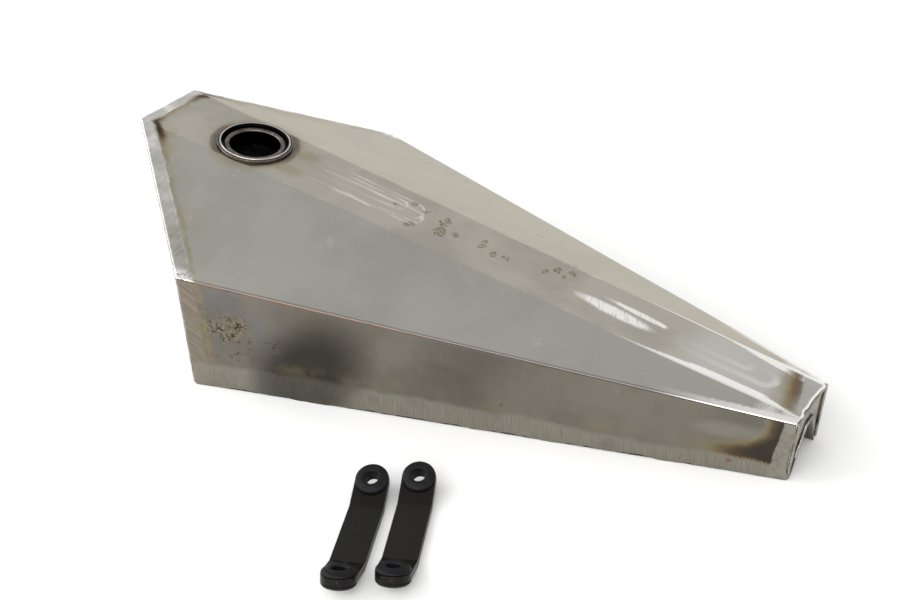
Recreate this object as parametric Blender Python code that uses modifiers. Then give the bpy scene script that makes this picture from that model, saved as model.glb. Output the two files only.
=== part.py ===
"""Welded steel "coffin" fuel tank for a motorcycle, with its two loose mounting straps.

The tank is one folded top skin, closed by set-in plates: a nose plate, two front walls, a rear
plate and two bottom plates on either side of a channel that clears the frame's backbone. All
lengths are metres. Design coordinates run from the top of the nose (x = 0) to the tail (+X), with
z = 0 on the surface that the tank stands on. Left is -Y, the rider's left hand. The empty "datum"
moves them so that the world origin is the flat of the backbone channel at mid-length.
"""

import math

import bmesh
import bpy
from mathutils import Matrix, Vector

# Outline of the tank.
LENGTH = 0.5334
STRIP_FRONT_HALF = 0.0310
STRIP_REAR_HALF = 0.0216
NOSE_HEIGHT = 0.1460
TAIL_HEIGHT = 0.0479
SHOULDER_X = 0.1168
SHOULDER_HALF = 0.1345
SHOULDER_HEIGHT = 0.0904
SHOULDER_FOOT_X = 0.1186
SHOULDER_FOOT_HALF = 0.1335
NOSE_FOOT_X = 0.0160
NOSE_FOOT_HALF = 0.0335
TAIL_HALF = 0.0278
TAIL_FOOT_X = 0.5293

# Sheet and how it is joined.
SHEET = 0.0015
RECESS = 0.0015
GAP = 0.0003
BEAD = 0.0006
BEAD_END = 0.0100

# Backbone channel: the open space under the tank.
CHANNEL_FOOT_HALF = 0.0220
CHANNEL_ROOF_HALF = 0.0045
CHANNEL_HEIGHT = 0.0295
CHANNEL_SEAM_START = 0.0120

# Filler neck. Radii, and heights above the strip.
NECK_X = 0.0849
NECK_OUTER = 0.0270
NECK_WALL = 0.0017
NECK_PROUD = 0.0025
NECK_DEPTH = 0.0120
NECK_LEDGE_INNER = 0.0212
NECK_LEDGE_TOP = -0.0040
RIM_ROUND = 0.0005
CAM_SEAT_OUTER = 0.0229
CAM_SEAT_INNER = 0.0200
CAM_SEAT_TOP = 0.0002
CAM_SKIRT_OUTER = 0.0209
CAM_SKIRT_INNER = 0.0193
CAM_BOTTOM = -0.0150
CAM_LIP_INNER = 0.0165
CAM_LIP = 0.0015
CAM_SLOT_WIDTH = 0.0120
NECK_BEAD = 0.0009

# Bungs.
BUNG_HEIGHT = 0.0120
BUNG_OUTER = 0.0080
BUNG_BORE = 0.0040
BUNG_BORE_DEPTH = 0.0100
BUNG_HALF_SPACING = 0.04605
BUNG_FRONT_X = 0.1500
BUNG_REAR_X = 0.3800
PETCOCK_X = 0.4200
PETCOCK_Y = -0.0385
PETCOCK_OUTER = 0.0100
PETCOCK_BORE = 0.0056

# Mounting straps and their rubber grommets.
STRAP_WIDTH = 0.0222
STRAP_THICK = 0.0048
STRAP_HOLE_SPACING = 0.0921
STRAP_FLAT_HALF = 0.0250
STRAP_BEND_RADIUS = 0.0080
STRAP_BEND = math.radians(22.0)
STRAP_PLACES = {"left": (0.3195, -0.2136, 111.7), "right": (0.3454, -0.1959, 113.1)}
GROMMET_FLANGE = 0.0110
GROMMET_WAIST = 0.0078
GROMMET_BORE = 0.0045
GROMMET_PROUD = 0.0035
GROMMET_ROUND = 0.0012

# Facets round turned pieces.
TURNED_STEPS = 48
SMALL_STEPS = 24

MERGE = 1e-5
SIDES = {"left": -1, "right": 1}


# ---------------------------------------------------------------- scene and materials
for old in list(bpy.data.objects):
    bpy.data.objects.remove(old, do_unlink=True)


def new_collection(name):
    collection = bpy.data.collections.new(name)
    bpy.context.scene.collection.children.link(collection)
    return collection


PARTS = new_collection("fuel_tank")
CUTTERS = new_collection("cutters")
GUIDES = new_collection("guides")

DATUM = bpy.data.objects.new("datum", None)
DATUM.location = (-LENGTH / 2, 0.0, -CHANNEL_HEIGHT)
GUIDES.objects.link(DATUM)


def material(name, colour, roughness, metallic):
    made = bpy.data.materials.new(name)
    made.use_nodes = True
    shader = made.node_tree.nodes["Principled BSDF"]
    shader.inputs["Base Color"].default_value = (*colour, 1.0)
    shader.inputs["Roughness"].default_value = roughness
    shader.inputs["Metallic"].default_value = metallic
    made.diffuse_color = (*colour, 1.0)
    return made


LOOKS = {
    "skin": ((0.38, 0.37, 0.34), 0.34, 1.0),
    "plate": ((0.33, 0.32, 0.30), 0.40, 1.0),
    "channel": ((0.28, 0.27, 0.25), 0.42, 1.0),
    "weld": ((0.45, 0.43, 0.40), 0.45, 1.0),
    "neck": ((0.50, 0.49, 0.46), 0.30, 1.0),
    "cam": ((0.20, 0.17, 0.14), 0.38, 1.0),
    "bung": ((0.42, 0.42, 0.40), 0.36, 1.0),
    "strap": ((0.016, 0.015, 0.013), 0.35, 0.0),
    "rubber": ((0.010, 0.011, 0.014), 0.60, 0.0),
}


def add_object(name, mesh, look, parent=None):
    """A finished sub-part: in the parts collection, with its own material, under the datum."""
    part = bpy.data.objects.new(name, mesh)
    part.parent = parent or DATUM
    PARTS.objects.link(part)
    mesh.materials.clear()
    mesh.materials.append(material(name, *LOOKS[look]))
    return part


def add_cutter(name, mesh, parent=None):
    cutter = bpy.data.objects.new(name, mesh)
    cutter.parent = parent or DATUM
    cutter.hide_render = True
    cutter.display_type = "WIRE"
    CUTTERS.objects.link(cutter)
    return cutter


def cut(part, cutter):
    boolean = part.modifiers.new("cut " + cutter.name, "BOOLEAN")
    boolean.operation = "DIFFERENCE"
    boolean.solver = "EXACT"
    boolean.object = cutter


# ---------------------------------------------------------------- planes
class Plane:
    """An outer face of the tank: the points p with normal . p = offset, normal pointing out."""

    def __init__(self, normal, offset):
        self.normal = normal
        self.offset = offset

    @staticmethod
    def through(a, b, c, inner_point):
        normal = (b - a).cross(c - a).normalized()
        if normal.dot(inner_point - a) > 0:
            normal.negate()
        return Plane(normal, normal.dot(a))

    def inside(self, depth):
        return Plane(self.normal, self.offset - depth)


def meet(p, q, r):
    """The point where three planes cross."""
    rows = Matrix((p.normal, q.normal, r.normal))
    return rows.inverted() @ Vector((p.offset, q.offset, r.offset))


CENTRE = Vector((LENGTH / 2, 0.0, 0.04))
FLOOR = Plane(Vector((0, 0, -1)), 0.0)


def side_points(side):
    """The named corners on one side of the tank; side is -1 for left and 1 for right."""
    corners = {
        "strip_front": Vector((0.0, side * STRIP_FRONT_HALF, NOSE_HEIGHT)),
        "strip_rear": Vector((LENGTH, side * STRIP_REAR_HALF, TAIL_HEIGHT)),
        "shoulder": Vector((SHOULDER_X, side * SHOULDER_HALF, SHOULDER_HEIGHT)),
        "shoulder_foot": Vector((SHOULDER_FOOT_X, side * SHOULDER_FOOT_HALF, 0.0)),
        "nose_foot": Vector((NOSE_FOOT_X, side * NOSE_FOOT_HALF, 0.0)),
    }
    tail_edge = Plane(Vector((0, side, 0)), TAIL_HALF)
    facet = Plane.through(
        corners["strip_front"], corners["shoulder"], corners["strip_rear"], CENTRE
    )
    corners["tail"] = meet(facet, REAR, tail_edge)
    wall = Plane.through(
        corners["shoulder"], corners["shoulder_foot"], corners["tail"], CENTRE
    )
    corners["tail_foot"] = meet(wall, REAR, FLOOR)
    return corners


REAR = Plane.through(
    Vector((LENGTH, -STRIP_REAR_HALF, TAIL_HEIGHT)),
    Vector((LENGTH, STRIP_REAR_HALF, TAIL_HEIGHT)),
    Vector((TAIL_FOOT_X, 0.0, 0.0)),
    CENTRE,
)
CORNERS = {side: side_points(side) for side in (-1, 1)}
STRIP = Plane.through(
    CORNERS[-1]["strip_front"], CORNERS[1]["strip_front"], CORNERS[1]["strip_rear"], CENTRE
)
NOSE = Plane.through(
    CORNERS[-1]["strip_front"], CORNERS[1]["strip_front"], CORNERS[1]["nose_foot"], CENTRE
)


def outer_plane(side, *names):
    return Plane.through(*(CORNERS[side][name] for name in names), CENTRE)


FACET = {s: outer_plane(s, "strip_front", "shoulder", "strip_rear") for s in (-1, 1)}
WALL = {s: outer_plane(s, "shoulder", "shoulder_foot", "tail") for s in (-1, 1)}
FRONT = {s: outer_plane(s, "strip_front", "shoulder", "shoulder_foot") for s in (-1, 1)}
FRONT_LOW = {s: outer_plane(s, "strip_front", "shoulder_foot", "nose_foot") for s in (-1, 1)}


def channel_leg(side):
    """The sloping face of the channel, as an outer face of the tank."""
    foot = Vector((0.0, side * CHANNEL_FOOT_HALF, 0.0))
    roof = Vector((0.0, side * CHANNEL_ROOF_HALF, CHANNEL_HEIGHT))
    along = Vector((LENGTH, side * CHANNEL_FOOT_HALF, 0.0))
    return Plane.through(foot, roof, along, Vector((0.2, side * 0.2, 0.02)))


LEG = {s: channel_leg(s) for s in (-1, 1)}
ROOF = Plane(Vector((0, 0, -1)), -CHANNEL_HEIGHT)


def clear_of(own, neighbour, depth):
    """The neighbour's plane moved in until a sheet that lies on own stays clear of it."""
    lean = max(0.0, -own.normal.dot(neighbour.normal))
    return neighbour.inside(depth + GAP + SHEET * lean)


# ---------------------------------------------------------------- sheet metal
def sheet_mesh(name, points, faces, outside):
    """An open surface whose faces look towards outside, ready for Solidify."""
    bm = bmesh.new()
    made = [bm.verts.new(point) for point in points]
    for face in faces:
        bm.faces.new([made[index] for index in face])
    bmesh.ops.recalc_face_normals(bm, faces=bm.faces[:])
    bm.normal_update()
    bm.faces.ensure_lookup_table()
    if bm.faces[0].normal.dot(outside) < 0:
        bmesh.ops.reverse_faces(bm, faces=bm.faces[:])
    mesh = bpy.data.meshes.new(name)
    bm.to_mesh(mesh)
    bm.free()
    return mesh


def solidify(part, thickness=SHEET):
    """Thickness on the inner side of the surface."""
    shell = part.modifiers.new("thickness", "SOLIDIFY")
    shell.thickness = thickness
    shell.offset = -1.0
    shell.use_even_offset = True
    return part


def plate(name, look, points, faces, outside):
    mesh = sheet_mesh(name, points, faces, outside)
    return solidify(add_object(name, mesh, look))


def make_top_skin():
    order = ("shoulder_foot", "shoulder", "strip_front")
    tail = ("tail_foot", "tail", "strip_rear")
    front_edge = [CORNERS[-1][n] for n in order] + [CORNERS[1][n] for n in reversed(order)]
    rear_edge = [CORNERS[-1][n] for n in tail] + [CORNERS[1][n] for n in reversed(tail)]
    count = len(front_edge)
    faces = [(i, i + 1, count + i + 1, count + i) for i in range(count - 1)]
    skin = plate("top_skin", "skin", front_edge + rear_edge, faces, WALL[-1].normal)
    cut(skin, neck_hole_cutter())


def make_front_wall(word, side):
    own = FRONT[side].inside(RECESS)
    low = FRONT_LOW[side].inside(RECESS)
    strip = clear_of(own, STRIP, SHEET)
    facet = clear_of(own, FACET[side], SHEET)
    wall = clear_of(own, WALL[side], SHEET)
    points = [
        meet(own, NOSE, strip),
        meet(own, strip, facet),
        meet(own, facet, wall),
        meet(own, wall, FLOOR),
        meet(low, NOSE, FLOOR),
    ]
    plate(f"front_wall_{word}", "plate", points, [(0, 1, 2, 3), (0, 3, 4)], own.normal)


def make_nose_plate():
    own = NOSE.inside(RECESS)
    strip = clear_of(own, STRIP, SHEET)
    beside = {s: clear_of(own, FRONT_LOW[s], RECESS + SHEET) for s in (-1, 1)}
    points = [
        meet(own, strip, beside[-1]),
        meet(own, strip, beside[1]),
        meet(own, FLOOR, beside[1]),
        meet(own, FLOOR, beside[-1]),
    ]
    nose = plate("nose_plate", "plate", points, [(0, 1, 2, 3)], own.normal)
    cut(nose, CHANNEL_CUTTER)


def make_rear_plate():
    own = REAR.inside(RECESS)
    strip = clear_of(own, STRIP, SHEET)
    points = []
    for s in (-1, 1):
        facet = clear_of(own, FACET[s], SHEET)
        wall = clear_of(own, WALL[s], SHEET)
        half = [meet(own, FLOOR, wall), meet(own, wall, facet), meet(own, facet, strip)]
        points += half if s < 0 else reversed(half)
    rear = plate("rear_plate", "plate", points, [tuple(range(len(points)))], own.normal)
    cut(rear, CHANNEL_CUTTER)


def make_bottom_plate(word, side):
    own = FLOOR.inside(RECESS)
    leg = clear_of(own, LEG[side], SHEET)
    nose = clear_of(own, NOSE, RECESS + SHEET)
    front = clear_of(own, FRONT_LOW[side], RECESS + SHEET)
    wall = clear_of(own, WALL[side], SHEET)
    rear = clear_of(own, REAR, RECESS + SHEET)
    points = [
        meet(own, leg, nose),
        meet(own, nose, front),
        meet(own, front, wall),
        meet(own, wall, rear),
        meet(own, rear, leg),
    ]
    made = plate(f"bottom_plate_{word}", "plate", points, [(0, 1, 2, 3, 4)], own.normal)
    for x in (BUNG_FRONT_X, BUNG_REAR_X):
        cut(made, round_cutter(f"bung_hole_{word}_{x}", x, side * BUNG_HALF_SPACING, BUNG_OUTER))
    if side * PETCOCK_Y > 0:
        cut(made, round_cutter("petcock_hole", PETCOCK_X, PETCOCK_Y, PETCOCK_OUTER))


def channel_outline(depth):
    """Where the channel's faces, moved into the tank by depth, cross: foot, roof, roof, foot."""
    left = LEG[-1].inside(depth)
    right = LEG[1].inside(depth)
    roof = ROOF.inside(depth)
    return [(left, FLOOR), (left, roof), (right, roof), (right, FLOOR)]


def make_channel():
    corners = channel_outline(0.0)
    points = [meet(a, b, NOSE) for a, b in corners] + [meet(a, b, REAR) for a, b in corners]
    faces = [(0, 1, 5, 4), (1, 2, 6, 5), (2, 3, 7, 6)]
    plate("backbone_channel", "channel", points, faces, LEG[-1].normal)


def make_channel_cutter():
    """The channel's outside with a gap all round, longer than the tank."""
    past = 0.02
    low = FLOOR.inside(-past)
    before = Plane(Vector((-1, 0, 0)), past)
    beyond = Plane(Vector((1, 0, 0)), LENGTH + past)
    corners = channel_outline(SHEET + GAP)
    corners[0] = (corners[0][0], low)
    corners[3] = (corners[3][0], low)
    bm = bmesh.new()
    loop = [bm.verts.new(meet(a, b, before)) for a, b in corners]
    face = bm.faces.new(loop)
    made = bmesh.ops.extrude_face_region(bm, geom=[face])
    moved = [v for v in made["geom"] if isinstance(v, bmesh.types.BMVert)]
    bmesh.ops.translate(bm, verts=moved, vec=(beyond.offset + before.offset, 0, 0))
    bmesh.ops.recalc_face_normals(bm, faces=bm.faces[:])
    mesh = bpy.data.meshes.new("channel_space")
    bm.to_mesh(mesh)
    bm.free()
    return add_cutter("channel_space", mesh)


def cylinder_mesh(name, radius, height, steps):
    bm = bmesh.new()
    bmesh.ops.create_cone(
        bm, cap_ends=True, segments=steps, radius1=radius, radius2=radius, depth=height
    )
    mesh = bpy.data.meshes.new(name)
    bm.to_mesh(mesh)
    bm.free()
    return mesh


def round_cutter(name, x, y, radius):
    """An upright hole with the running gap round what goes through it."""
    cutter = add_cutter(name, cylinder_mesh(name, radius + GAP, 4 * SHEET, SMALL_STEPS))
    cutter.location = (x, y, RECESS + SHEET / 2)
    return cutter


# ---------------------------------------------------------------- turned pieces
def turned(name, look, profile, steps, closed=True, parent=None):
    """A ring whose (radius, height) profile runs down its outer side; smooth round, crisp edges."""
    mesh = bpy.data.meshes.new(name)
    edges = [(i, i + 1) for i in range(len(profile) - 1)]
    if closed:
        edges.append((len(profile) - 1, 0))
    mesh.from_pydata([(radius, 0.0, height) for radius, height in profile], edges, [])
    part = add_object(name, mesh, look, parent)
    screw = part.modifiers.new("turn", "SCREW")
    screw.steps = steps
    screw.render_steps = steps
    screw.use_merge_vertices = True
    screw.merge_threshold = MERGE
    screw.use_normal_calculate = False
    return part


def ring_bead_profile(ring_radius, bead_radius, height, points=8):
    """The round section of a weld bead, clockwise seen with +X right, so it runs down outside."""
    profile = []
    for i in range(points):
        turn = math.pi / 2 - 2 * math.pi * i / points
        profile.append(
            (ring_radius + bead_radius * math.cos(turn), height + bead_radius * math.sin(turn))
        )
    return profile


def neck_empty():
    """A frame on the strip: its Z is the strip's outward normal, its origin the neck's centre."""
    slope = math.atan2(NOSE_HEIGHT - TAIL_HEIGHT, LENGTH)
    height = NOSE_HEIGHT - NECK_X * math.tan(slope)
    empty = bpy.data.objects.new("neck_frame", None)
    empty.parent = DATUM
    empty.location = (NECK_X, 0.0, height)
    empty.rotation_euler = (0.0, slope, 0.0)
    GUIDES.objects.link(empty)
    return empty


NECK_FRAME = neck_empty()


def neck_hole_cutter():
    mesh = cylinder_mesh("neck_hole", NECK_OUTER + GAP, 8 * SHEET, TURNED_STEPS)
    return add_cutter("neck_hole", mesh, NECK_FRAME)


def make_filler_neck():
    inner = NECK_OUTER - NECK_WALL
    profile = [
        (NECK_OUTER - RIM_ROUND, NECK_PROUD),
        (NECK_OUTER, NECK_PROUD - RIM_ROUND),
        (NECK_OUTER, -NECK_DEPTH),
        (inner, -NECK_DEPTH),
        (inner, NECK_LEDGE_TOP - SHEET),
        (NECK_LEDGE_INNER, NECK_LEDGE_TOP - SHEET),
        (NECK_LEDGE_INNER, NECK_LEDGE_TOP),
        (inner, NECK_LEDGE_TOP),
        (inner, NECK_PROUD),
    ]
    turned("filler_neck", "neck", profile, TURNED_STEPS, parent=NECK_FRAME)
    bead = ring_bead_profile(NECK_OUTER + GAP + NECK_BEAD, NECK_BEAD, GAP + NECK_BEAD)
    turned("weld_filler_neck", "weld", bead, TURNED_STEPS, parent=NECK_FRAME)


def make_cam_ring():
    """The gasket seat and, below it, the lip with two slots that a twist-on cap locks under."""
    flange_bottom = NECK_LEDGE_TOP + GAP
    lip_top = CAM_BOTTOM + CAM_LIP
    profile = [
        (CAM_SEAT_OUTER, CAM_SEAT_TOP),
        (CAM_SEAT_OUTER, flange_bottom),
        (CAM_SKIRT_OUTER, flange_bottom),
        (CAM_SKIRT_OUTER, CAM_BOTTOM),
        (CAM_LIP_INNER, CAM_BOTTOM),
        (CAM_LIP_INNER, lip_top),
        (CAM_SKIRT_INNER, lip_top),
        (CAM_SKIRT_INNER, flange_bottom),
        (CAM_SEAT_INNER, CAM_SEAT_TOP),
    ]
    ring = turned("filler_cam_ring", "cam", profile, TURNED_STEPS, parent=NECK_FRAME)
    reach = CAM_SKIRT_INNER - GAP
    bm = bmesh.new()
    bmesh.ops.create_cube(bm, size=1.0)
    bmesh.ops.scale(bm, verts=bm.verts, vec=(CAM_SLOT_WIDTH, 2 * reach, 4 * CAM_LIP))
    mesh = bpy.data.meshes.new("cam_slots")
    bm.to_mesh(mesh)
    bm.free()
    slots = add_cutter("cam_slots", mesh, NECK_FRAME)
    slots.location = (0.0, 0.0, CAM_BOTTOM - CAM_LIP / 2)
    cut(ring, slots)


def make_bung(name, x, y, outer, bore, blind):
    if blind:
        profile = [
            (0.0, BUNG_HEIGHT),
            (outer, BUNG_HEIGHT),
            (outer, 0.0),
            (bore, 0.0),
            (bore, BUNG_BORE_DEPTH),
            (0.0, BUNG_BORE_DEPTH),
        ]
    else:
        profile = [(outer, BUNG_HEIGHT), (outer, 0.0), (bore, 0.0), (bore, BUNG_HEIGHT)]
    bung = turned(name, "bung", profile, SMALL_STEPS, closed=not blind)
    bung.location = (x, y, 0.0)


def bung_places():
    places = {}
    for word, side in SIDES.items():
        places[f"mount_bung_front_{word}"] = (BUNG_FRONT_X, side * BUNG_HALF_SPACING)
        places[f"mount_bung_rear_{word}"] = (BUNG_REAR_X, side * BUNG_HALF_SPACING)
    return places


def make_bung_weld(name, x, y, radius):
    """A ring of bead round a bung, on the outside of the bottom plate."""
    ring = turned(name, "weld", ring_bead_profile(radius + GAP + BEAD, BEAD, BEAD, 6), SMALL_STEPS)
    ring.location = (x, y, 0.0)


def make_bungs():
    for name, (x, y) in bung_places().items():
        make_bung(name, x, y, BUNG_OUTER, BUNG_BORE, blind=True)
        make_bung_weld(name.replace("mount_bung", "weld_bung"), x, y, BUNG_OUTER)
    make_bung("petcock_bung", PETCOCK_X, PETCOCK_Y, PETCOCK_OUTER, PETCOCK_BORE, blind=False)
    make_bung_weld("weld_petcock_bung", PETCOCK_X, PETCOCK_Y, PETCOCK_OUTER)


# ---------------------------------------------------------------- weld beads along seams
def bead_line(name, points):
    """A bead of filler metal along a seam, as a tube with closed ends."""
    curve = bpy.data.curves.new(name, "CURVE")
    curve.dimensions = "3D"
    curve.bevel_depth = BEAD
    curve.bevel_resolution = 1
    curve.use_fill_caps = True
    spline = curve.splines.new("POLY")
    spline.points.add(len(points) - 1)
    for target, point in zip(spline.points, points):
        target.co = (*point, 1.0)
    add_object(name, curve, "weld")


def outside_of(own):
    """The plane of a bead's axis that lies in the recess, just off the plate."""
    return own.inside(RECESS - GAP - BEAD)


def beside(neighbour, depth):
    """The plane of a bead's axis that lies just off the neighbour's inner face."""
    return neighbour.inside(depth + GAP + BEAD)


def make_seam_welds():
    foot = FLOOR.inside(2 * BEAD)
    rear_end = REAR.inside(BEAD_END)
    floor_axis = outside_of(FLOOR)
    wall_depth = RECESS + SHEET
    for word, s in SIDES.items():
        front_axis = outside_of(FRONT[s])
        facet_axis = beside(FACET[s], SHEET)
        wall_axis = beside(WALL[s], SHEET)
        front_inner = beside(FRONT_LOW[s], wall_depth)
        bead_line(
            f"weld_front_{word}",
            [
                meet(front_axis, facet_axis, NOSE.inside(2 * BEAD)),
                meet(front_axis, facet_axis, wall_axis),
                meet(front_axis, wall_axis, foot),
            ],
        )
        bead_line(
            f"weld_bottom_{word}",
            [
                meet(floor_axis, front_inner, beside(NOSE, wall_depth + 2 * BEAD)),
                meet(floor_axis, front_inner, wall_axis),
                meet(floor_axis, wall_axis, rear_end),
            ],
        )
        leg_axis = beside(LEG[s], SHEET)
        bead_line(
            f"weld_channel_{word}",
            [
                meet(floor_axis, leg_axis, beside(NOSE, wall_depth + 2 * BEAD)),
                meet(floor_axis, leg_axis, rear_end),
            ],
        )
    make_nose_weld(foot)
    make_rear_weld(foot)
    make_channel_end_weld("weld_channel_front", outside_of(NOSE))
    make_channel_end_weld("weld_channel_rear", outside_of(REAR))


def make_nose_weld(foot):
    own = outside_of(NOSE)
    strip = beside(STRIP, SHEET)
    points = []
    for s in (-1, 1):
        front = beside(FRONT_LOW[s], RECESS + SHEET)
        half = [meet(own, front, foot), meet(own, front, strip)]
        points += half if s < 0 else reversed(half)
    bead_line("weld_nose", points)


def make_rear_weld(foot):
    own = outside_of(REAR)
    strip = beside(STRIP, SHEET)
    points = []
    for s in (-1, 1):
        facet = beside(FACET[s], SHEET)
        wall = beside(WALL[s], SHEET)
        half = [meet(own, wall, foot), meet(own, wall, facet), meet(own, facet, strip)]
        points += half if s < 0 else reversed(half)
    bead_line("weld_rear", points)


def make_channel_end_weld(name, own):
    depth = SHEET + GAP + BEAD
    start = FLOOR.inside(CHANNEL_SEAM_START)
    corners = channel_outline(depth)
    points = [meet(corners[0][0], start, own)]
    points += [meet(a, b, own) for a, b in corners[1:3]]
    points.append(meet(corners[3][0], start, own))
    bead_line(name, points)


# ---------------------------------------------------------------- straps
def strap_line():
    """(u, w, width share) stations along half of the strap's lower face, from the middle out."""
    stations = [(0.0, 0.0, 1.0), (STRAP_FLAT_HALF, 0.0, 1.0)]
    bend_steps = 4
    for step in range(1, bend_steps + 1):
        turn = STRAP_BEND * step / bend_steps
        stations.append(
            (
                STRAP_FLAT_HALF + STRAP_BEND_RADIUS * math.sin(turn),
                STRAP_BEND_RADIUS * (1 - math.cos(turn)),
                1.0,
            )
        )
    bend_u, bend_w, _ = stations[-1]
    hole_run = (STRAP_HOLE_SPACING / 2 - bend_u) / math.cos(STRAP_BEND)
    end_steps = 8
    for step in range(end_steps + 1):
        turn = math.pi / 2 * step / end_steps
        run = hole_run + STRAP_WIDTH / 2 * math.sin(turn)
        stations.append(
            (
                bend_u + run * math.cos(STRAP_BEND),
                bend_w + run * math.sin(STRAP_BEND),
                math.cos(turn),
            )
        )
    return stations


def hole_seat():
    """Where a grommet's axis crosses the strap's lower face: u and w."""
    bend_u = STRAP_FLAT_HALF + STRAP_BEND_RADIUS * math.sin(STRAP_BEND)
    bend_w = STRAP_BEND_RADIUS * (1 - math.cos(STRAP_BEND))
    u = STRAP_HOLE_SPACING / 2
    return u, bend_w + (u - bend_u) * math.tan(STRAP_BEND)


def strap_mesh(name):
    half = strap_line()
    stations = [(-u, w, share) for u, w, share in reversed(half[1:])] + half
    bm = bmesh.new()
    rows = []
    for u, w, share in stations:
        y = STRAP_WIDTH / 2 * share
        if share < 1e-6:
            rows.append([bm.verts.new((u, 0.0, w))])
        else:
            rows.append([bm.verts.new((u, -y, w)), bm.verts.new((u, y, w))])
    for here, there in zip(rows, rows[1:]):
        bm.faces.new([*here, *reversed(there)])
    bmesh.ops.recalc_face_normals(bm, faces=bm.faces[:])
    if bm.faces[0].normal.z > 0:
        bmesh.ops.reverse_faces(bm, faces=bm.faces[:])
    mesh = bpy.data.meshes.new(name)
    bm.to_mesh(mesh)
    bm.free()
    return mesh


def grommet_profile():
    """A rubber grommet about the strap's lower face at height 0; waist in the hole, two flanges."""
    top = STRAP_THICK + GROMMET_PROUD
    low = -GROMMET_PROUD
    r = GROMMET_ROUND
    return [
        (GROMMET_FLANGE - r, top),
        (GROMMET_FLANGE, top - r),
        (GROMMET_FLANGE, STRAP_THICK + GAP),
        (GROMMET_WAIST, STRAP_THICK + GAP),
        (GROMMET_WAIST, -GAP),
        (GROMMET_FLANGE, -GAP),
        (GROMMET_FLANGE, low + r),
        (GROMMET_FLANGE - r, low),
        (GROMMET_BORE, low),
        (GROMMET_BORE, top),
    ]


def make_strap(word, place):
    x, y, heading = place
    frame = bpy.data.objects.new(f"strap_{word}_frame", None)
    frame.parent = DATUM
    frame.location = (x, y, 0.0)
    frame.rotation_euler = (0.0, 0.0, math.radians(heading))
    GUIDES.objects.link(frame)
    name = f"mount_strap_{word}"
    strap = solidify(add_object(name, strap_mesh(name), "strap", frame), STRAP_THICK)
    seat_u, seat_w = hole_seat()
    for end, sign in (("near", -1), ("far", 1)):
        seat = (sign * seat_u, 0.0, seat_w)
        tilt = (0.0, -sign * STRAP_BEND, 0.0)
        hole = cylinder_mesh(
            f"strap_hole_{word}_{end}", GROMMET_WAIST + GAP, 6 * STRAP_THICK, TURNED_STEPS // 2
        )
        cutter = add_cutter(f"strap_hole_{word}_{end}", hole, frame)
        cutter.location = seat
        cutter.rotation_euler = tilt
        cut(strap, cutter)
        grommet = turned(
            f"grommet_{word}_{end}", "rubber", grommet_profile(), SMALL_STEPS, parent=frame
        )
        grommet.location = seat
        grommet.rotation_euler = tilt


# ---------------------------------------------------------------- build
CHANNEL_CUTTER = make_channel_cutter()
make_top_skin()
make_nose_plate()
make_rear_plate()
make_channel()
for side_word, side_sign in SIDES.items():
    make_front_wall(side_word, side_sign)
    make_bottom_plate(side_word, side_sign)
make_filler_neck()
make_cam_ring()
make_bungs()
make_seam_welds()
for strap_word, strap_place in STRAP_PLACES.items():
    make_strap(strap_word, strap_place)
for part in PARTS.objects:
    if part.type == "MESH":
        part.data.shade_smooth()
        part.data.set_sharp_from_angle(angle=math.radians(30))
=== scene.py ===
import math

import bmesh
import bpy
import numpy as np
from mathutils import Matrix, Vector, noise


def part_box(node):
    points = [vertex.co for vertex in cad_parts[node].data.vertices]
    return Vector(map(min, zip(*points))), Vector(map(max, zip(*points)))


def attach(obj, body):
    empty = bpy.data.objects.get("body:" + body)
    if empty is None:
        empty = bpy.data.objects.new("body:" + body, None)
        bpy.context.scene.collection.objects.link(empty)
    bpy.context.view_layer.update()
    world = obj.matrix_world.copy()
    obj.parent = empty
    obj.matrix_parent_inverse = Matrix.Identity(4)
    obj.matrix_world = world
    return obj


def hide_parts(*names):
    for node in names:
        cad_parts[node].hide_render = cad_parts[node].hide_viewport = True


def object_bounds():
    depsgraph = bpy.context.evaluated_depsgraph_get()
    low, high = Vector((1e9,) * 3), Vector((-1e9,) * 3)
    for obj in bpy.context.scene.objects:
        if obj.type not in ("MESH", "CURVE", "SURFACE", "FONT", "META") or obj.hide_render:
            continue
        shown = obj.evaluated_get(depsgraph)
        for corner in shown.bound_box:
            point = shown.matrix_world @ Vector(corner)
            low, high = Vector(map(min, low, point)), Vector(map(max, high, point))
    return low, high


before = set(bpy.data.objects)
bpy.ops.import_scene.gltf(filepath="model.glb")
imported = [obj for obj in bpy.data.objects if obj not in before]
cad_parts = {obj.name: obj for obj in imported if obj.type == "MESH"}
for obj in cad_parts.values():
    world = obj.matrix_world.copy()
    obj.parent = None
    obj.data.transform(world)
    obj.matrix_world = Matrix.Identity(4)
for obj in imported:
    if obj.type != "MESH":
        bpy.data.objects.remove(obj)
CAD_LOW, CAD_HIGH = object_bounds()

# ---- measures, in metres
SHEET = 0.0015
FOLD_RADIUS = 0.0030
EDGE_ROUND = 0.0009
FRONT_GROUND = 0.011
TAIL_GROUND = 0.014
FOOT_DRESSED = 0.006
FOOT_RAISED = 0.0023
STATION_STEP = 0.0024
HOLE_CLEARANCE = 0.0002
NECK_WALL = 0.0017
NECK_LEDGE = (-0.0055, -0.0040)
CAM_LIP_REACH = 0.0028
CAM_LIP_SHEET = 0.0015
CAM_WALL = 0.0016
CAM_SEAT_EDGE = 0.0035
CAM_SEAT_SHEET = 0.0022
BEAD_RADIUS = 0.0012
NECK_BEAD_RADIUS = 0.0008
BUNG_BEAD_RADIUS = 0.0011
BEAD_RIPPLE = 0.0017
RING_REACH = 0.0030
PLATE_MESH = 0.006
THREAD_PITCH = 0.0015
THREAD_DEPTH = 0.0006
BUNG_CHAMFER = 0.0008
BUNG_LEAD_IN = 0.0011
BUNG_FLOOR = 0.0020
STRAP_EDGE = 0.0007
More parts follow.
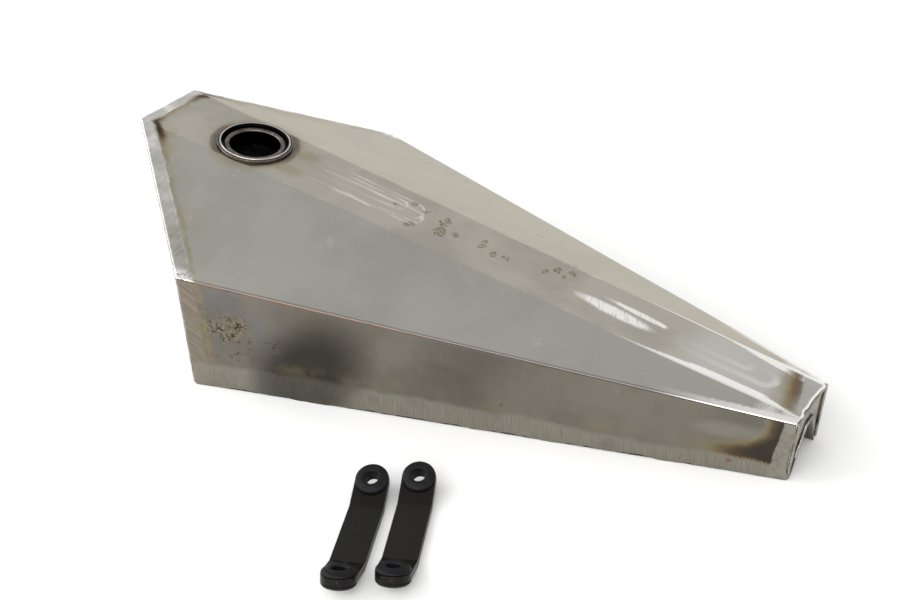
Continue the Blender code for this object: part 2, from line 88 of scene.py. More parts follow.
GROMMET_PROUD = 0.0035
SAME_PLACE = 1e-6

TURNED_STEPS = 128
SMALL_TURNED_STEPS = 64
RING_STEPS = 96
BEAD_SIDES = 8
RIPPLE_STEPS = 4
LEFT, RIGHT = -1, 1
UP = Vector((0.0, 0.0, 1.0))
ORIGIN = (0.0, 0.0, 0.0)

# The camera, where the object was seen from.
CAMERA_PLACE = (0.47372, -0.74497, 0.55835)
CAMERA_TURN = (58.392, 1.835, 31.894)
CAMERA_LENS = 56.6


# ---- places read from the frame
def node_points(node):
    return [v.co.copy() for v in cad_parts[node].data.vertices]


def extreme(node, *direction):
    """The corner of a CAD node that lies farthest along a direction."""
    return max(node_points(node), key=Vector(direction).dot)


def tank_corners(side):
    """The outer corners of the folded skin on one side of the tank."""
    return {
        "foot_front": extreme("top_skin", -0.05, side, -0.5),
        "shoulder_front": extreme("top_skin", -0.05, side, 0.1),
        "strip_front": extreme("top_skin", -0.3, side * 0.3, 1.0),
        "foot_rear": extreme("top_skin", 1.0, side * 0.5, -1.0),
        "shoulder_rear": extreme("top_skin", 1.0, side, 0.5),
        "strip_rear": extreme("top_skin", 1.0, side * 0.1, 1.0),
    }


CORNER = {side: tank_corners(side) for side in (LEFT, RIGHT)}
FLOOR_Z = CAD_LOW.z


def strip_normal():
    along = CORNER[RIGHT]["strip_rear"] - CORNER[LEFT]["strip_front"]
    across = CORNER[RIGHT]["strip_front"] - CORNER[LEFT]["strip_front"]
    return along.cross(across).normalized()


STRIP_UP = strip_normal()


def middle_of(node):
    low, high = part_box(node)
    return (low + high) / 2


def reach(node, origin, axis):
    """Lowest and highest point along an axis, and smallest and largest distance from it."""
    offsets = [p - origin for p in node_points(node)]
    heights = [o.dot(axis) for o in offsets]
    radii = [(o - axis * h).length for o, h in zip(offsets, heights)]
    return min(heights), max(heights), min(radii), max(radii)


def neck_centre():
    """Where the neck's axis crosses the strip's outer face."""
    middle = middle_of("filler_neck")
    drop = (CORNER[LEFT]["strip_front"] - middle).dot(STRIP_UP)
    return middle + STRIP_UP * drop


NECK = neck_centre()
NECK_LOW, NECK_TOP, NECK_INNER, NECK_OUTER = reach("filler_neck", NECK, STRIP_UP)


# ---- node materials
def three(value):
    """One number for all three axes or colours, or the three that are given."""
    return (value,) * 3 if isinstance(value, float) else value


def operator(operation, swapped=False):
    """A method of Field that adds one maths node."""
    def method(field, other):
        pair = (other, field) if swapped else (field, other)
        return field.paint.math(operation, *pair)
    return method


class Field:
    """A number that varies over a surface, as an output of a node tree; arithmetic adds nodes."""
    __add__ = operator("ADD")
    __radd__ = operator("ADD", swapped=True)
    __sub__ = operator("SUBTRACT")
    __rsub__ = operator("SUBTRACT", swapped=True)
    __mul__ = operator("MULTIPLY")
    __rmul__ = operator("MULTIPLY", swapped=True)

    def __init__(self, paint, socket):
        self.paint = paint
        self.socket = socket

    def __abs__(self):
        return self.paint.math("ABSOLUTE", self, 0.0)

    def rise(self, low, high):
        """0 below low, 1 above high, smooth between; a low above high makes it fall."""
        start, end = (1.0, 0.0) if low > high else (0.0, 1.0)
        low, high = min(low, high), max(low, high)
        node = self.paint.node("MapRange", Value=self, From_Min=low, From_Max=high, To_Min=start, To_Max=end)
        node.interpolation_type = "SMOOTHSTEP"
        return Field(self.paint, node.outputs["Result"])

    def band(self, low, high, soft):
        """1 between low and high, 0 outside, with soft edges."""
        return self.rise(low - soft, low + soft) * self.rise(high + soft, high - soft)


class Paint:
    """Builds one procedural material round a Principled shader, coat over coat."""

    def __init__(self, name, colour, roughness, metallic=1.0, specular=0.5):
        self.material = bpy.data.materials.new(name)
        self.material.use_nodes = True
        self.tree = self.material.node_tree
        self.shader = self.tree.nodes["Principled BSDF"]
        self.shader.inputs["Metallic"].default_value = metallic
        self.shader.inputs["Specular IOR Level"].default_value = specular
        self.coords = self.node("TexCoord").outputs["Object"]
        self.colour = colour
        self.roughness = roughness
        self.height = None
        self.x, self.y, self.z = self.parts(self.coords)

    def link(self, value, socket):
        if isinstance(value, Field):
            self.tree.links.new(value.socket, socket)
        elif isinstance(value, bpy.types.NodeSocket):
            self.tree.links.new(value, socket)
        elif isinstance(value, tuple) and socket.type == "RGBA":
            socket.default_value = (*value, 1.0)
        else:
            socket.default_value = value

    def node(self, kind, **inputs):
        """Adds a node, with inputs set or linked; a name has _ for each space."""
        made = self.tree.nodes.new("ShaderNode" + kind)
        for name, value in inputs.items():
            self.link(value, made.inputs[name.replace("_", " ")])
        return made

    def parts(self, vector):
        """The X, Y and Z of a vector socket, as fields."""
        return [Field(self, socket) for socket in self.node("SeparateXYZ", Vector=vector).outputs]

    def math(self, operation, first, second):
        node = self.node("Math")
        node.operation = operation
        self.link(first, node.inputs[0])
        self.link(second, node.inputs[1])
        return Field(self, node.outputs[0])

    def attribute(self, name):
        node = self.node("Attribute")
        node.attribute_name = name
        return Field(self, node.outputs["Fac"])

    def mapped(self, size, turn, shift):
        turn, shift, size = [math.radians(a) for a in turn], three(shift), three(size)
        node = self.node("Mapping", Vector=self.coords, Location=shift, Rotation=turn, Scale=size)
        node.vector_type = "TEXTURE"
        return node.outputs["Vector"]

    def noise(self, size, detail=3.0, rough=0.55, turn=(0, 0, 0), shift=0.0, warp=0.0):
        """Noise from 0 to 1 whose lumps measure size, a length or one length for each axis."""
        place = self.mapped(size, turn, shift)
        node = self.node("TexNoise", Vector=place, Scale=1.0, Detail=detail, Roughness=rough, Distortion=warp)
        return Field(self, node.outputs["Fac"])

    def wander(self, amount, size, **how):
        """Noise about zero, by which an edge wanders: amount is its whole span."""
        return (self.noise(size, **how) - 0.5) * amount

    def cells(self, size, turn=(0, 0, 0), shift=0.0, feature="F1"):
        """Distance to the nearest of scattered points or cell edges, in cell sizes."""
        node = self.node("TexVoronoi", Vector=self.mapped(size, turn, shift), Scale=1.0)
        node.feature = feature
        return Field(self, node.outputs["Distance"])

    def mix(self, colour, share, blend="MIX"):
        """Mixes a colour into the one so far, by a share from 0 to 1."""
        node = self.node("Mix")
        node.data_type = "RGBA"
        node.blend_type = blend
        node.clamp_factor = True
        self.link(share, node.inputs["Factor"])
        sockets = [socket for socket in node.inputs if socket.type == "RGBA"]
        self.link(self.colour, sockets[0])
        self.link(colour, sockets[1])
        self.colour = next(socket for socket in node.outputs if socket.type == "RGBA")

    def coat(self, colour, share, roughness=None):
        """Lays a colour, and perhaps a roughness, over what is there, by a share from 0 to 1."""
        self.mix(colour, share)
        if roughness is not None:
            self.roughness = share * (roughness - self.roughness) + self.roughness

    def shade(self, factor, share):
        """Multiplies the colour so far by a factor, by a share from 0 to 1."""
        self.mix(three(factor), share, "MULTIPLY")

    def far_from(self, centre, size, turn=(0, 0, 0), ragged=0.0, grain=None):
        """Distance from a point in units of size, 1 on the ellipsoid's surface."""
        node = self.node("VectorMath", Vector=self.mapped(size, turn, centre))
        node.operation = "LENGTH"
        away = Field(self, node.outputs["Value"])
        if ragged:
            away = away + self.wander(ragged, grain or min(size), shift=centre)
        return away

    def raise_by(self, height, amount):
        """Adds relief: a height field times an amount in metres."""
        part = height * amount
        self.height = part if self.height is None else self.height + part

    def finish(self):
        self.link(self.colour, self.shader.inputs["Base Color"])
        self.link(self.roughness, self.shader.inputs["Roughness"])
        if self.height is not None:
            bump = self.node("Bump", Height=self.height, Distance=1.0, Strength=1.0)
            self.link(bump.outputs["Normal"], self.shader.inputs["Normal"])
        return self.material


# ---- steel finishes
STRIP_SLOPE = 10.4      # degrees that the strip falls towards the tail
# The direction across the view, along which the heat round the neck is painted darkest, partly as painted
# shade.
NECK_HEAT_AND_SHADE_SIDE = (0.85, 0.53)
REAR_HEAT_SLANT = 0.225

# Colours are linear light.
# Near white: polish on the folds and ridges, painted brighter as a highlight.
WHITE_POLISH_HIGHLIGHT = (0.92, 0.91, 0.90)
SATIN = (0.42, 0.398, 0.352)
MILL = (0.185, 0.170, 0.142)
GROUND = (0.47, 0.45, 0.43)
OLIVE = (0.27, 0.23, 0.13)
BROWN = (0.10, 0.06, 0.03)
BLUE_BLACK = (0.035, 0.035, 0.045)
COPPER = (0.19, 0.085, 0.052)
SOOT = (0.030, 0.024, 0.019)
SIDE_GROUND = (0.25, 0.235, 0.195)


def sheet_texture(paint, dark, light):
    """Clouding, rolling grain, long scratches and specks that all the sheet steel shares."""
    cloud = paint.noise(0.06, detail=5.0, warp=0.4)
    grain = paint.noise((0.05, 0.0011, 0.0011), turn=(0, STRIP_SLOPE, 0))
    fine = paint.noise((0.009, 0.0005, 0.0005), detail=2.0)
    paint.shade(dark, cloud.rise(0.62, 0.35) * 0.8)
    paint.shade(dark, grain.rise(0.6, 0.35) * 0.14)
    paint.shade(light, grain.rise(0.55, 0.75) * 0.12)
    for turn, shift in ((33, 0.0), (-52, 0.3), (84, 0.7)):
        web = paint.cells((0.11, 0.016, 0.11), turn=(0, 0, turn), shift=shift, feature="DISTANCE_TO_EDGE")
        kept = paint.noise(0.020, shift=shift + 1.0).rise(0.63, 0.70)
        scratch = web.rise(0.018, 0.004) * kept
        paint.shade(1.22, scratch * 0.7)
        paint.raise_by(scratch, -0.00002)
    specks = paint.cells(0.011).rise(0.075, 0.04) * paint.noise(0.03, shift=2.0).rise(0.5, 0.6)
    paint.shade(0.55, specks * 0.8)
    paint.roughness = cloud * 0.10 + fine * 0.10 + (paint.roughness - 0.10)
    paint.raise_by(fine, 0.00004)
    paint.raise_by(paint.noise(0.035, detail=1.0, shift=5.0), 0.0006)


def front_grinding(paint, width):
    """The band ground over the front weld: bright and smooth, with wheel marks, then a heat tint; towards the
    top it is painted lighter, with a painted sheen and a painted highlight line along its inner edge.
    """
    edge = paint.attribute("front")
    uneven = paint.wander(0.006, 0.022, detail=2.0) + paint.wander(0.0016, 0.0045, detail=2.0)
    inner = edge + uneven
    patchy = paint.noise(0.016, shift=3.0).rise(0.34, 0.62)
    # Painted light: high grows towards the top of the skin and makes the ground band, its painted sheen and
    # the heat halo stronger there.
    high = paint.z.rise(CORNER[LEFT]["shoulder_front"].z, CORNER[LEFT]["strip_front"].z) * 0.65 + 0.35
    ridge = paint.attribute("ridge")
    corner = ridge.rise(0.034, 0.006)
    halo = inner.rise(width + 0.022, width) * paint.noise(0.02, shift=4.0).rise(0.35, 0.7)
    paint.coat(OLIVE, halo * high * 0.65)
    paint.coat(OLIVE, inner.band(width, width + 0.0036, 0.0016) * (patchy * 0.6 + corner * 0.5))
    marks = paint.noise((0.010, 0.010, 0.0008), detail=2.0, turn=(20, 30, 0))
    sheen = paint.noise((0.02, 0.02, 0.007), detail=2.0, shift=6.0)
    ground = inner.rise(width + 0.0005, width - 0.0005)
    paint.coat(GROUND, ground * high, 0.33)
    paint.shade(0.84, ground * sheen.rise(0.58, 0.36))
    paint.shade(0.86, ground * marks.rise(0.62, 0.40))
    # Painted sheen: a whitish coat over the ground band, strongest towards the top.
    paint.coat((0.90, 0.89, 0.88), ground * (sheen.rise(0.50, 0.80) * 0.5 + 0.2) * high * high, 0.28)
    # Painted highlight: a bright line along the band's inner edge.
    rim = inner.band(width - 0.0012, width, 0.0005)
    paint.coat((0.85, 0.84, 0.83), rim * sheen.rise(0.50, 0.60) * high * 0.25)
    paint.raise_by(inner.rise(width + 0.0010, width - 0.0014), -0.00016)
    paint.raise_by(ground * sheen, 0.0002)
    dark = inner.band(width - 0.0010, width + 0.0050, 0.0026) * ridge.rise(0.019, 0.004)
    paint.coat(BROWN, dark * (patchy * 0.3 + 0.68))
    core = inner.band(width - 0.0004, width + 0.0030, 0.0018) * ridge.rise(0.011, 0.002)
    paint.coat(SOOT, core * 0.85)


def strip_material():
    paint = Paint("satin steel, centre strip", SATIN, 0.36)
    sheet_texture(paint, 0.80, 1.16)
    neck_heat(paint)
    sanding(paint)
    water_marks(paint)
    front_grinding(paint, 0.0090)
    rear_heat(paint)
    return paint.finish()


def neck_heat(paint):
    """Rings of heat colour round the neck, with painted shade making them darkest on either side of it across
    the view.
    """
    neck = paint.attribute("neck")
    away = neck - NECK_OUTER + paint.wander(0.004, 0.016)
    across = (paint.x - NECK.x) * NECK_HEAT_AND_SHADE_SIDE[0] + (paint.y - NECK.y) * NECK_HEAT_AND_SHADE_SIDE[1]
    heat_and_shade_sides = abs(across).rise(0.62 * NECK_OUTER, 1.02 * NECK_OUTER)
    patchy = paint.noise(0.012, detail=4.0, shift=6.0).rise(0.35, 0.60)
    paint.coat(OLIVE, away.rise(0.013, 0.004) * (patchy * 0.35 + 0.30))
    paint.coat(BROWN, away.rise(0.0042, 0.0016) * 0.45)
    # Painted shade: dark grey on either side across the view; the brown band and dark rings there are heat
    # colour placed the same way.
    paint.coat((0.085, 0.078, 0.075), away.rise(0.0062, 0.0044) * heat_and_shade_sides * 0.85, 0.30)
    paint.coat(BROWN, away.band(0.0052, 0.0074, 0.0012) * heat_and_shade_sides * 0.65)
    rings = paint.math("SINE", neck * 1400.0, 0.0).rise(0.2, 0.9)
    paint.shade(0.55, rings * away.rise(0.0062, 0.0044) * heat_and_shade_sides * 0.6)
    for side, size in ((-1.0, 0.020), (1.0, 0.013)):
        spot = NECK + Vector((0.040, 0.012 * side, -0.007))
        paint.coat(OLIVE, paint.far_from(spot, (size, 0.010, 0.02), ragged=0.8).rise(1.0, 0.3) * 0.5)


def loop_stroke(paint, centre, half_length, radius, wide):
    """A long loop, as a sanding disc turns back on itself: straight sides, round ends, even width."""
    wobble = paint.wander(0.003, 0.022, detail=1.0, shift=centre)
    past = paint.math("MAXIMUM", abs(paint.x - centre.x) - half_length, 0.0)
    across = paint.y - centre.y + wobble
    away = paint.math("SQRT", past * past + across * across, 0.0) - radius
    return abs(away).rise(wide, wide * 0.2)


def on_strip(x, y):
    """The point of the strip's outer face over a place, in metres."""
    start = CORNER[LEFT]["strip_front"]
    z = start.z - ((x - start.x) * STRIP_UP.x + (y - start.y) * STRIP_UP.y) / STRIP_UP.z
    return Vector((x, y, z))


def sanding(paint):
    """Long oval disc strokes, patches of fresh sanding, and the folds at the rear, given a polish and painted
    white as a highlight.
    """
    hatch = paint.noise((0.0009, 0.009, 0.009), detail=2.0, turn=(0, 0, 24))
    lines = paint.noise((0.05, 0.0009, 0.002), detail=2.0, turn=(0, STRIP_SLOPE, 0), shift=7.0)
    light = (0.80, 0.79, 0.77)
    rear_half = paint.x.rise(-0.15, -0.06)
    broken = paint.noise((0.030, 0.005, 0.03), detail=2.0, shift=11.0).rise(0.40, 0.62)
    # Each loop: its middle, the radius of its ends and the width of its line.
    front_loops = (
        (-0.107, 0.0045, 0.0120, 0.0013), (-0.101, -0.0010, 0.0085, 0.0020), (-0.116, 0.0060, 0.0062, 0.0016),
    )
    for x, y, radius, wide in front_loops:
        stroke = loop_stroke(paint, on_strip(x, y), 0.060, radius, wide)
        paint.coat(light, stroke * rear_half * lines.rise(0.32, 0.55) * (broken * 0.8 + 0.1) * 0.75, 0.28)
    for x, y, half_length, half_width in ((0.124, -0.003, 0.034, 0.0062), (0.142, 0.0060, 0.032, 0.0030)):
        size = (half_length, half_width, 0.03)
        away = paint.far_from(on_strip(x, y), size, turn=(0, STRIP_SLOPE, -4), ragged=0.35)
        patch = away.rise(1.05, 0.55) * paint.x.rise(0.1615, 0.1575) * hatch.rise(0.2, 0.5)
        paint.coat((0.88, 0.87, 0.85), patch * 0.95, 0.26)
    for x, y, radius, wide in ((0.205, 0.0010, 0.0085, 0.0040), (0.190, 0.0065, 0.0050, 0.0042)):
        stroke = loop_stroke(paint, on_strip(x, y), 0.026, radius, wide) * paint.y.rise(0.012, -0.002)
        stroke = stroke * paint.x.rise(0.16, 0.235) * hatch.rise(0.15, 0.50)
        paint.coat((0.80, 0.79, 0.78), stroke * 0.70, 0.28)
    smooth_tail = paint.x.rise(0.155, 0.20) * paint.x.rise(0.245, 0.235)
    paint.coat((0.55, 0.54, 0.53), smooth_tail * 0.6, 0.30)
    # The folds, given a polish and painted white as a highlight: the near one for longer, the far one only
    # towards the tail.
    tail = paint.attribute("tail")
    streaks = (lines - 0.5) * 0.004 + (hatch - 0.5) * 0.003
    near_wide = tail.rise(0.004, 0.036) * tail.rise(0.120, 0.060) * 0.0062
    far_wide = tail.rise(0.085, 0.010) * 0.0085
    for wide, side in ((near_wide, paint.y.rise(0.0, -0.002)), (far_wide, paint.y.rise(0.0, 0.002))):
        polish_and_highlight = (paint.attribute("ridge") + streaks - wide).rise(0.0004, -0.0010)
        paint.coat(WHITE_POLISH_HIGHLIGHT, polish_and_highlight * side * 0.92, 0.24)


def water_marks(paint):
    """Dried drops and finger marks: olive, with a darker rim."""
    places = (
        (-0.047, 0.014, 0.0035), (-0.035, 0.012, 0.003), (-0.058, 0.006, 0.003), (-0.036, -0.0105, 0.0045),
        (-0.018, 0.0095, 0.006), (-0.015, -0.003, 0.0065), (-0.004, 0.001, 0.004), (0.017, 0.003, 0.004),
        (0.016, 0.008, 0.003), (0.028, -0.001, 0.0035), (0.037, 0.001, 0.0035), (0.066, 0.006, 0.003),
        (0.072, 0.013, 0.004), (0.082, 0.017, 0.0035), (0.079, 0.009, 0.002),
    )
    mottle = paint.noise(0.0022, detail=2.0, shift=9.0).rise(0.36, 0.58)
    for x, y, size in places:
        lengths = (size, size * 0.7, size)
        away = paint.far_from(on_strip(x, y), lengths, turn=(0, 0, x * 4000), ragged=1.7, grain=size * 0.8)
        paint.coat((0.20, 0.175, 0.105), away.rise(1.0, 0.70) * mottle * 0.8, 0.42)
        paint.coat((0.07, 0.06, 0.035), abs(away - 0.85).rise(0.16, 0.0) * mottle * 0.85)


def rear_heat(paint):
    """Across the tail: an olive to black heat band, then a dull ground zone and a ground edge painted bright
    as a highlight.
    """
    tail = paint.attribute("tail")
    edge = tail - paint.y * REAR_HEAT_SLANT + paint.wander(0.003, 0.008)
    inside = paint.attribute("ridge").rise(0.0012, 0.0032)
    near_fade = paint.y.rise(-0.018, 0.002) * 0.40 + 0.60
    paint.coat(OLIVE, edge.band(0.0150, 0.0215, 0.0035) * inside * 0.80)
    paint.coat((0.17, 0.105, 0.045), edge.band(0.0120, 0.0175, 0.0025) * inside * near_fade * 0.90, 0.34)
    paint.coat(SOOT, edge.band(0.0100, 0.0128, 0.0030) * inside * near_fade * near_fade * 0.85, 0.32)
    zone = edge.rise(0.0098, 0.0088)
    swirls = paint.noise((0.0060, 0.0005, 0.0005), detail=2.0, turn=(0, 0, 8), warp=0.6)
    paint.coat((0.40, 0.385, 0.375), zone * inside * 0.95, 0.38)
    paint.shade(1.30, zone * swirls.rise(0.52, 0.72))
    paint.shade(0.80, zone * swirls.rise(0.44, 0.30))
    # Painted highlight: the ground tail edge painted near white.
    ground_lip_highlight = tail.rise(0.0024, 0.0013)
    paint.coat((0.9,) * 3, ground_lip_highlight * 0.95, 0.22)


def facet_material(word, colour):
    paint = Paint(f"satin steel, {word} facet", colour, 0.37)
    sheet_texture(paint, 0.89, 1.12)
    front_grinding(paint, 0.0100 if word == "left" else 0.0045)
    near_shoulder = paint.attribute("shoulder")
    tail = paint.attribute("tail")
    towards_tail = tail.rise(0.10, 0.03)
    # Painted shade: a dark line along the fold at the shoulder, towards the front.
    paint.coat((0.13, 0.12, 0.115), near_shoulder.rise(0.0026, 0.0012) * (1.0 - towards_tail) * 0.85, 0.44)
    # Painted highlight: a bright spot where the front edge meets the shoulder fold.
    corner = paint.attribute("front").rise(0.016, 0.004) * near_shoulder.rise(0.012, 0.003)
    paint.coat((0.92,) * 3, corner * paint.noise(0.004).rise(0.35, 0.55), 0.26)
    away = paint.attribute("neck") - NECK_OUTER + paint.wander(0.006, 0.016)
    paint.coat(OLIVE, away.rise(0.014, 0.004) * 0.5)
    hatch = paint.noise((0.0008, 0.012, 0.012), detail=2.0, turn=(0, 0, -25))
    ragged = paint.wander(0.012, 0.006)
    rear = (tail + ragged).rise(0.034, 0.024) * hatch.rise(0.25, 0.5)
    paint.coat((0.72, 0.71, 0.69), rear * 0.85, 0.30)
    paint.coat(OLIVE, (tail + ragged).band(0.013, 0.019, 0.003) * 0.35)
    # Polish and painted highlight: a bright hatched band along the shoulder fold towards the tail.
    polish_and_highlight = (near_shoulder + (hatch - 0.5) * 0.004).rise(0.0062, 0.0040) * towards_tail
    paint.coat((0.86, 0.85, 0.84), polish_and_highlight * 0.85, 0.26)
    # Polish and painted highlight: the ridge painted white towards the tail.
    ridge = paint.attribute("ridge").rise(0.0016, 0.0008) * paint.x.rise(0.12, 0.17)
    paint.coat(WHITE_POLISH_HIGHLIGHT, ridge * 0.8, 0.24)
    if word == "right":
        drops = paint.cells(0.030, shift=0.4).rise(0.13, 0.08)
        paint.coat((0.27, 0.24, 0.15), drops * paint.noise(0.004).rise(0.45, 0.55) * 0.5)
    return paint.finish()


def side_material(word):
    paint = Paint(f"mill steel, {word} side", MILL, 0.40)
    sheet_texture(paint, 0.72, 1.2)
    front = paint.attribute("front")
    low = paint.attribute("foot")
    tail = paint.attribute("tail")
    shoulder = paint.attribute("shoulder")
    blotch = paint.noise(0.028, detail=5.0, rough=0.62)
    # A dirty, pitted patch behind the front band, then a smooth dark stretch that is a painted dark
    # reflection.
    patch = front.band(0.012, 0.050, 0.008) * low.band(0.030, 0.064, 0.008)
    for x, z, size in ((-0.080, 0.0135, 0.010), (-0.071, 0.0300, 0.009)):
        spot = paint.far_from((x, 0.0, z), (size, 10.0, size), ragged=0.8).rise(1.1, 0.6)
        patch = paint.math("MAXIMUM", patch, spot)
    paint.coat((0.15, 0.15, 0.155), front.band(0.014, 0.080, 0.012) * blotch.rise(0.38, 0.60) * 0.6, 0.42)
    paint.coat((0.17, 0.135, 0.08), patch * blotch.rise(0.46, 0.60) * 0.7, 0.46)
    worms = paint.cells(0.0034, feature="DISTANCE_TO_EDGE").rise(0.13, 0.03)
    crust = paint.noise(0.016, detail=4.0, shift=8.0).rise(0.44, 0.54) * patch
    paint.coat((0.24, 0.215, 0.165), crust * paint.noise(0.0024).rise(0.46, 0.58) * 0.65)
    paint.coat((0.025, 0.02, 0.016), crust * worms * paint.noise(0.005).rise(0.42, 0.56) * 0.95)
    # Painted reflection: a dark oval on the side.
    lengths = (0.040, 10.0, 0.064)
    dark = paint.far_from((-0.060, 0.0, -0.004), lengths, turn=(0, 40, 0), ragged=0.30, grain=0.05)
    paint.coat((0.026, 0.024, 0.020), dark.rise(1.15, 0.35) * 0.86, 0.32)
    # The ground front band with diagonal file lines and a yellow tint beside it.
    edge = front + paint.wander(0.005, 0.010)
    yellow = edge.band(0.0125, 0.0180, 0.003) * paint.noise(0.014, shift=4.0).rise(0.35, 0.60)
    paint.coat((0.25, 0.20, 0.11), yellow * 0.8)
    lines = paint.noise((0.024, 0.024, 0.00042), detail=2.0, turn=(0, 36, 0))
    band = edge.rise(0.0140, 0.0110)
    paint.coat((0.22, 0.185, 0.145), band * 0.9, 0.36)
    paint.coat((0.31, 0.275, 0.225), band * lines.rise(0.52, 0.64) * 0.55)
    paint.shade(0.68, band * lines.rise(0.47, 0.36))
    paint.raise_by(band * lines, 0.0001)
    # The foot, dressed with short vertical strokes of a disc.
    strokes = paint.noise((0.0007, 0.0007, 0.016), detail=4.0, rough=0.7)
    top = paint.x.rise(0.20, -0.03) * 0.0085 + paint.wander(0.010, 0.045, shift=2.0) + 0.0130
    fingers = low - top + (strokes - 0.5) * 0.009
    foot_band = fingers.rise(0.0022, -0.0022) * paint.noise(0.03, shift=1.0).rise(0.2, 0.5)
    paint.coat(OLIVE, fingers.band(0.001, 0.009, 0.004) * blotch.rise(0.45, 0.60) * 0.18)
    # The dressed foot shows less inside the painted dark reflection.
    in_dark_reflection = dark.rise(0.7, 1.05) * 0.75 + 0.25
    paint.coat(SIDE_GROUND, foot_band * in_dark_reflection * 0.85, 0.38)
    paint.shade(0.78, foot_band * strokes.rise(0.52, 0.36))
    paint.coat((0.36, 0.34, 0.30), foot_band * in_dark_reflection * strokes.rise(0.58, 0.72) * 0.5)
    # Heat from the tail weld: dark outside a quarter oval, and trailing forward under it.
    up = paint.z - FLOOR_Z
    slanted = tail + up * 0.12 + paint.wander(0.005, 0.011)
    oval = paint.far_from((0.224, 0.0, FLOOR_Z + 0.044), (0.031, 10.0, 0.023), ragged=0.25, grain=0.012)
    heat = oval.rise(0.55, 1.15) * paint.x.rise(0.186, 0.250) * fingers.rise(-0.0045, 0.0015)
    heat = heat + paint.wander(0.20, 0.014, shift=3.0) * heat
    pale = paint.far_from((0.224, 0.0, 0.0040), (0.028, 10.0, 0.0085), ragged=0.3).rise(1.1, 0.3)
    paint.coat((0.25, 0.24, 0.205), pale * 0.6, 0.30)
    paint.coat(OLIVE, heat.rise(0.05, 0.45) * 0.50)
    paint.coat(BROWN, heat.rise(0.22, 0.75) * 0.80, 0.32)
    paint.coat((0.036, 0.033, 0.030), heat.rise(0.50, 1.00) * 0.88, 0.30)
    end = slanted.rise(0.0146, 0.0132)
    paint.coat((0.265, 0.25, 0.21), end * 0.95, 0.44)
    paint.shade(0.80, end * paint.noise(0.006, detail=5.0, rough=0.7).rise(0.56, 0.40))
    # The fold's edge, painted dark as shade along its length, with copper flash from its tool along the
    # front.
    fold = shoulder.rise(0.0015, 0.0009)
    paint.coat((0.045, 0.036, 0.033), fold * 0.92, 0.45)
    flash = fold * front.rise(0.006, 0.012) * paint.x.rise(0.06, -0.02)
    paint.coat(COPPER, flash * paint.noise(0.02, detail=4.0).rise(0.30, 0.52) * 0.9, 0.5)
    spots = paint.cells(0.034, shift=(0.13, 0.2, 0.31)).rise(0.07, 0.045) * paint.noise(0.002).rise(0.4, 0.5)
    paint.coat(COPPER, spots * low.rise(0.045, 0.030) * front.rise(0.03, 0.05) * 0.8)
    return paint.finish()


# ---- the folded skin
RAILS = [(LEFT, rail) for rail in ("foot", "shoulder", "strip")]
RAILS += [(RIGHT, rail) for rail in ("strip", "shoulder", "foot")]
FLATS = (22, 40, 30, 40, 22)
ARC_STEPS = 6


def bend(start, corner, end, t):
    """The point at t, from 0 to 1, of a curve that rounds a corner."""
    return start * (1 - t) ** 2 + corner * 2 * t * (1 - t) + end * t * t


def rounded_section(corners):
    """A polyline through the corners with its inner ones rounded: points, each with its face."""
    line = []
    start = corners[0]
    for index in range(1, len(corners)):
        here = corners[index]
        last = index == len(corners) - 1
        finish_at = here
        if not last:
            back = (corners[index - 1] - here).normalized()
            ahead = (corners[index + 1] - here).normalized()
            cut = FOLD_RADIUS * math.tan((math.pi - back.angle(ahead)) / 2)
            finish_at = here + back * cut
        count = FLATS[index - 1]
        line += [(start.lerp(finish_at, step / count), index - 1) for step in range(count)]
        if last:
            line.append((here, index - 1))
            break
        start = here + ahead * cut
        for step in range(ARC_STEPS):
            t = step / ARC_STEPS
            line.append((bend(finish_at, here, start, t), index - 1 if t < 0.5 else index))
    return line


def station_fractions():
    """Fractions along the skin: close together at both ends, even in between."""
    length = (CORNER[LEFT]["strip_rear"] - CORNER[LEFT]["strip_front"]).length
    near_end = [0.0, 0.0003, 0.0007, 0.0012, 0.0019, 0.0029, 0.0043, 0.0060]
    steps = round((length - 2 * near_end[-1]) / STATION_STEP)
    middle = [near_end[-1] + (length - 2 * near_end[-1]) * i / steps for i in range(1, steps)]
    return [d / length for d in near_end + middle + [length - d for d in reversed(near_end)]]


def segment_distance(points, a, b):
    """Distance of each row of points to the segment from a to b."""
    a, b = np.array(a), np.array(b)
    along = b - a
    t = np.clip((points - a) @ along / (along @ along), 0.0, 1.0)
    return np.linalg.norm(points - (a + t[:, None] * along), axis=1)


# Each edge or fold as a run of corners on one side; front and tail also cross the strip.
SKIN_LINES = {
    "front": ("foot_front", "shoulder_front", "strip_front"),
    "tail": ("foot_rear", "shoulder_rear", "strip_rear"),
    "foot": ("foot_front", "foot_rear"),
    "shoulder": ("shoulder_front", "shoulder_rear"),
    "ridge": ("strip_front", "strip_rear"),
}


def skin_distances(points):
    """How far each point is from the skin's edges, folds and neck, in metres."""
    measures = {}
    for name, run in SKIN_LINES.items():
        segments = [(CORNER[s][a], CORNER[s][b]) for s in (LEFT, RIGHT) for a, b in zip(run, run[1:])]
        if name in ("front", "tail"):
            segments.append((CORNER[LEFT][run[-1]], CORNER[RIGHT][run[-1]]))
        measures[name] = np.min([segment_distance(points, a, b) for a, b in segments], axis=0)
    measures["neck"] = np.linalg.norm(points - np.array(NECK), axis=1)
    return measures


def lump(point, size, seed=0.0):
    """Smooth noise from -1 to 1 with lumps of a size in metres."""
    return noise.noise(Vector(point) / size + Vector((seed, seed * 1.7, seed * 2.3)))


